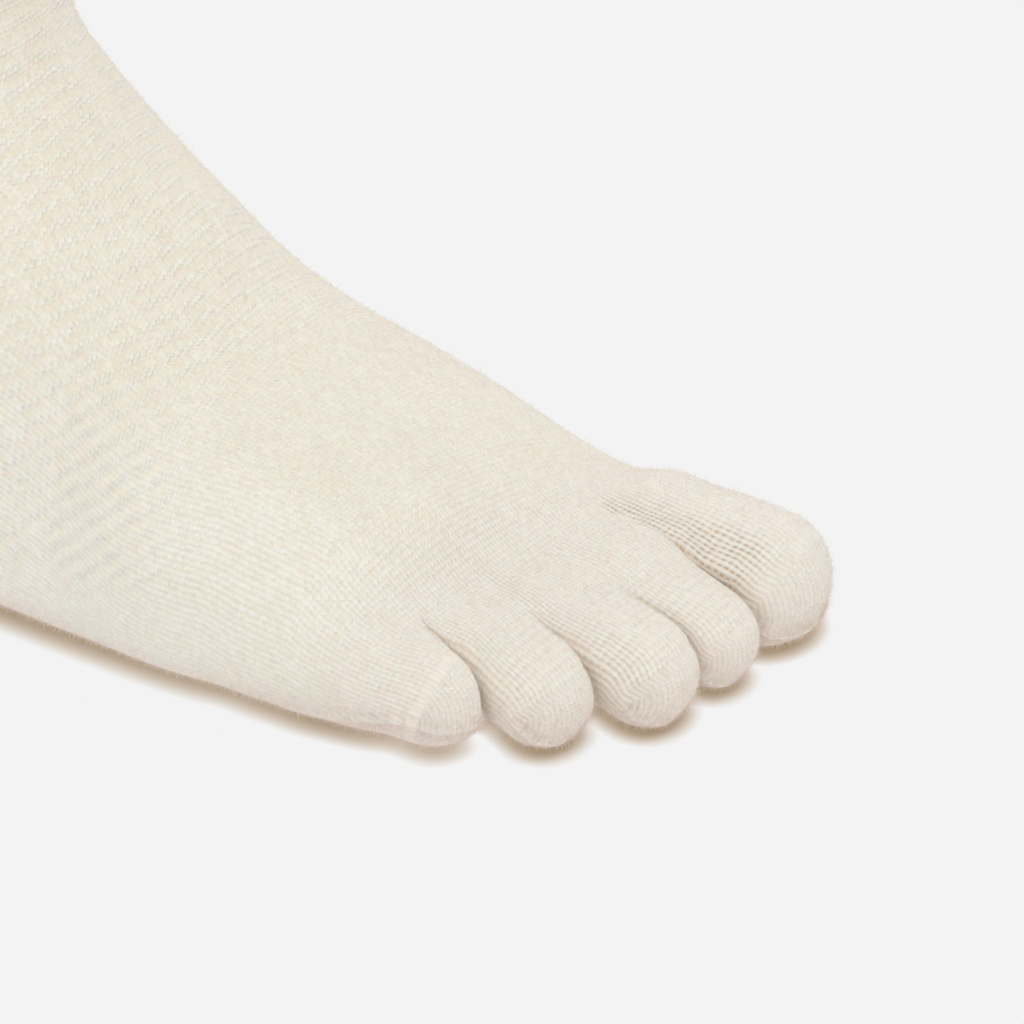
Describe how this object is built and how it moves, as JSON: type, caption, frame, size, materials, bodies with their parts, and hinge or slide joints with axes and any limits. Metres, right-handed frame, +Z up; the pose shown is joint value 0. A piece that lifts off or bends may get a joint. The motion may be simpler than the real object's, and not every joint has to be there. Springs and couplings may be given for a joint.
{
  "type": "five-toe crew sock",
  "caption": "Plain knitted crew sock with a separate tube for each toe, in its worn form for a right foot, open at a ribbed cuff.",
  "frame": {"origin": "centre of the leg's opening, at the top edge of the cuff", "axes": "+X forward to the toes, +Y towards the big toe's side, +Z up out of the opening"},
  "size_m": [0.2511, 0.0909, 0.2047],
  "materials": {
    "cream_knit": "soft fine-gauge cream cotton knit with a light fuzz",
    "cream_rib": "the same cream cotton yarn in a raised rib"
  },
  "bodies": {
    "root": {"cuff": "cream_rib", "leg": "cream_knit", "heel": "cream_knit", "foot": "cream_knit", "toe_big": "cream_knit", "toe_second": "cream_knit", "toe_third": "cream_knit", "toe_fourth": "cream_knit", "toe_little": "cream_knit"}
  },
  "joints": []
}
